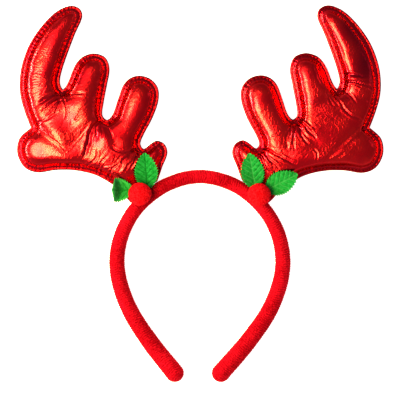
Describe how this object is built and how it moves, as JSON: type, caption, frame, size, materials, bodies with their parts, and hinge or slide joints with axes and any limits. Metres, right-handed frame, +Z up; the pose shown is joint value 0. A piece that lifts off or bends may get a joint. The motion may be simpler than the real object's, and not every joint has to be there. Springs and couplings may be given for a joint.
{
  "type": "reindeer antler headband",
  "caption": "Costume headband: a padded plush hoop carrying stuffed metallic cloth reindeer antlers, with holly leaves and pompom berries where they join.",
  "frame": {"origin": "under the middle of the outline, on the surface that the headband lies on", "axes": "+Z up, out of the front of the antlers; +Y from the hoop's open ends to the antler tips; +X to the right as seen from above the front"},
  "size_m": [0.2821, 0.2903, 0.0307],
  "materials": {
    "hoop_plush": "ribbed red plush",
    "antler_cloth": "shiny red metallic cloth, wrinkled",
    "leaf_cloth": "matt green felt",
    "berry_pompom": "fuzzy red pompom"
  },
  "bodies": {
    "root": {"headband_hoop": "hoop_plush", "antler_left_front": "antler_cloth", "antler_left_back": "antler_cloth", "antler_right_front": "antler_cloth", "antler_right_back": "antler_cloth", "leaf_left_upper": "leaf_cloth", "leaf_left_outer": "leaf_cloth", "leaf_right_upper": "leaf_cloth", "leaf_right_outer": "leaf_cloth", "berry_left": "berry_pompom", "berry_right": "berry_pompom"}
  },
  "joints": []
}
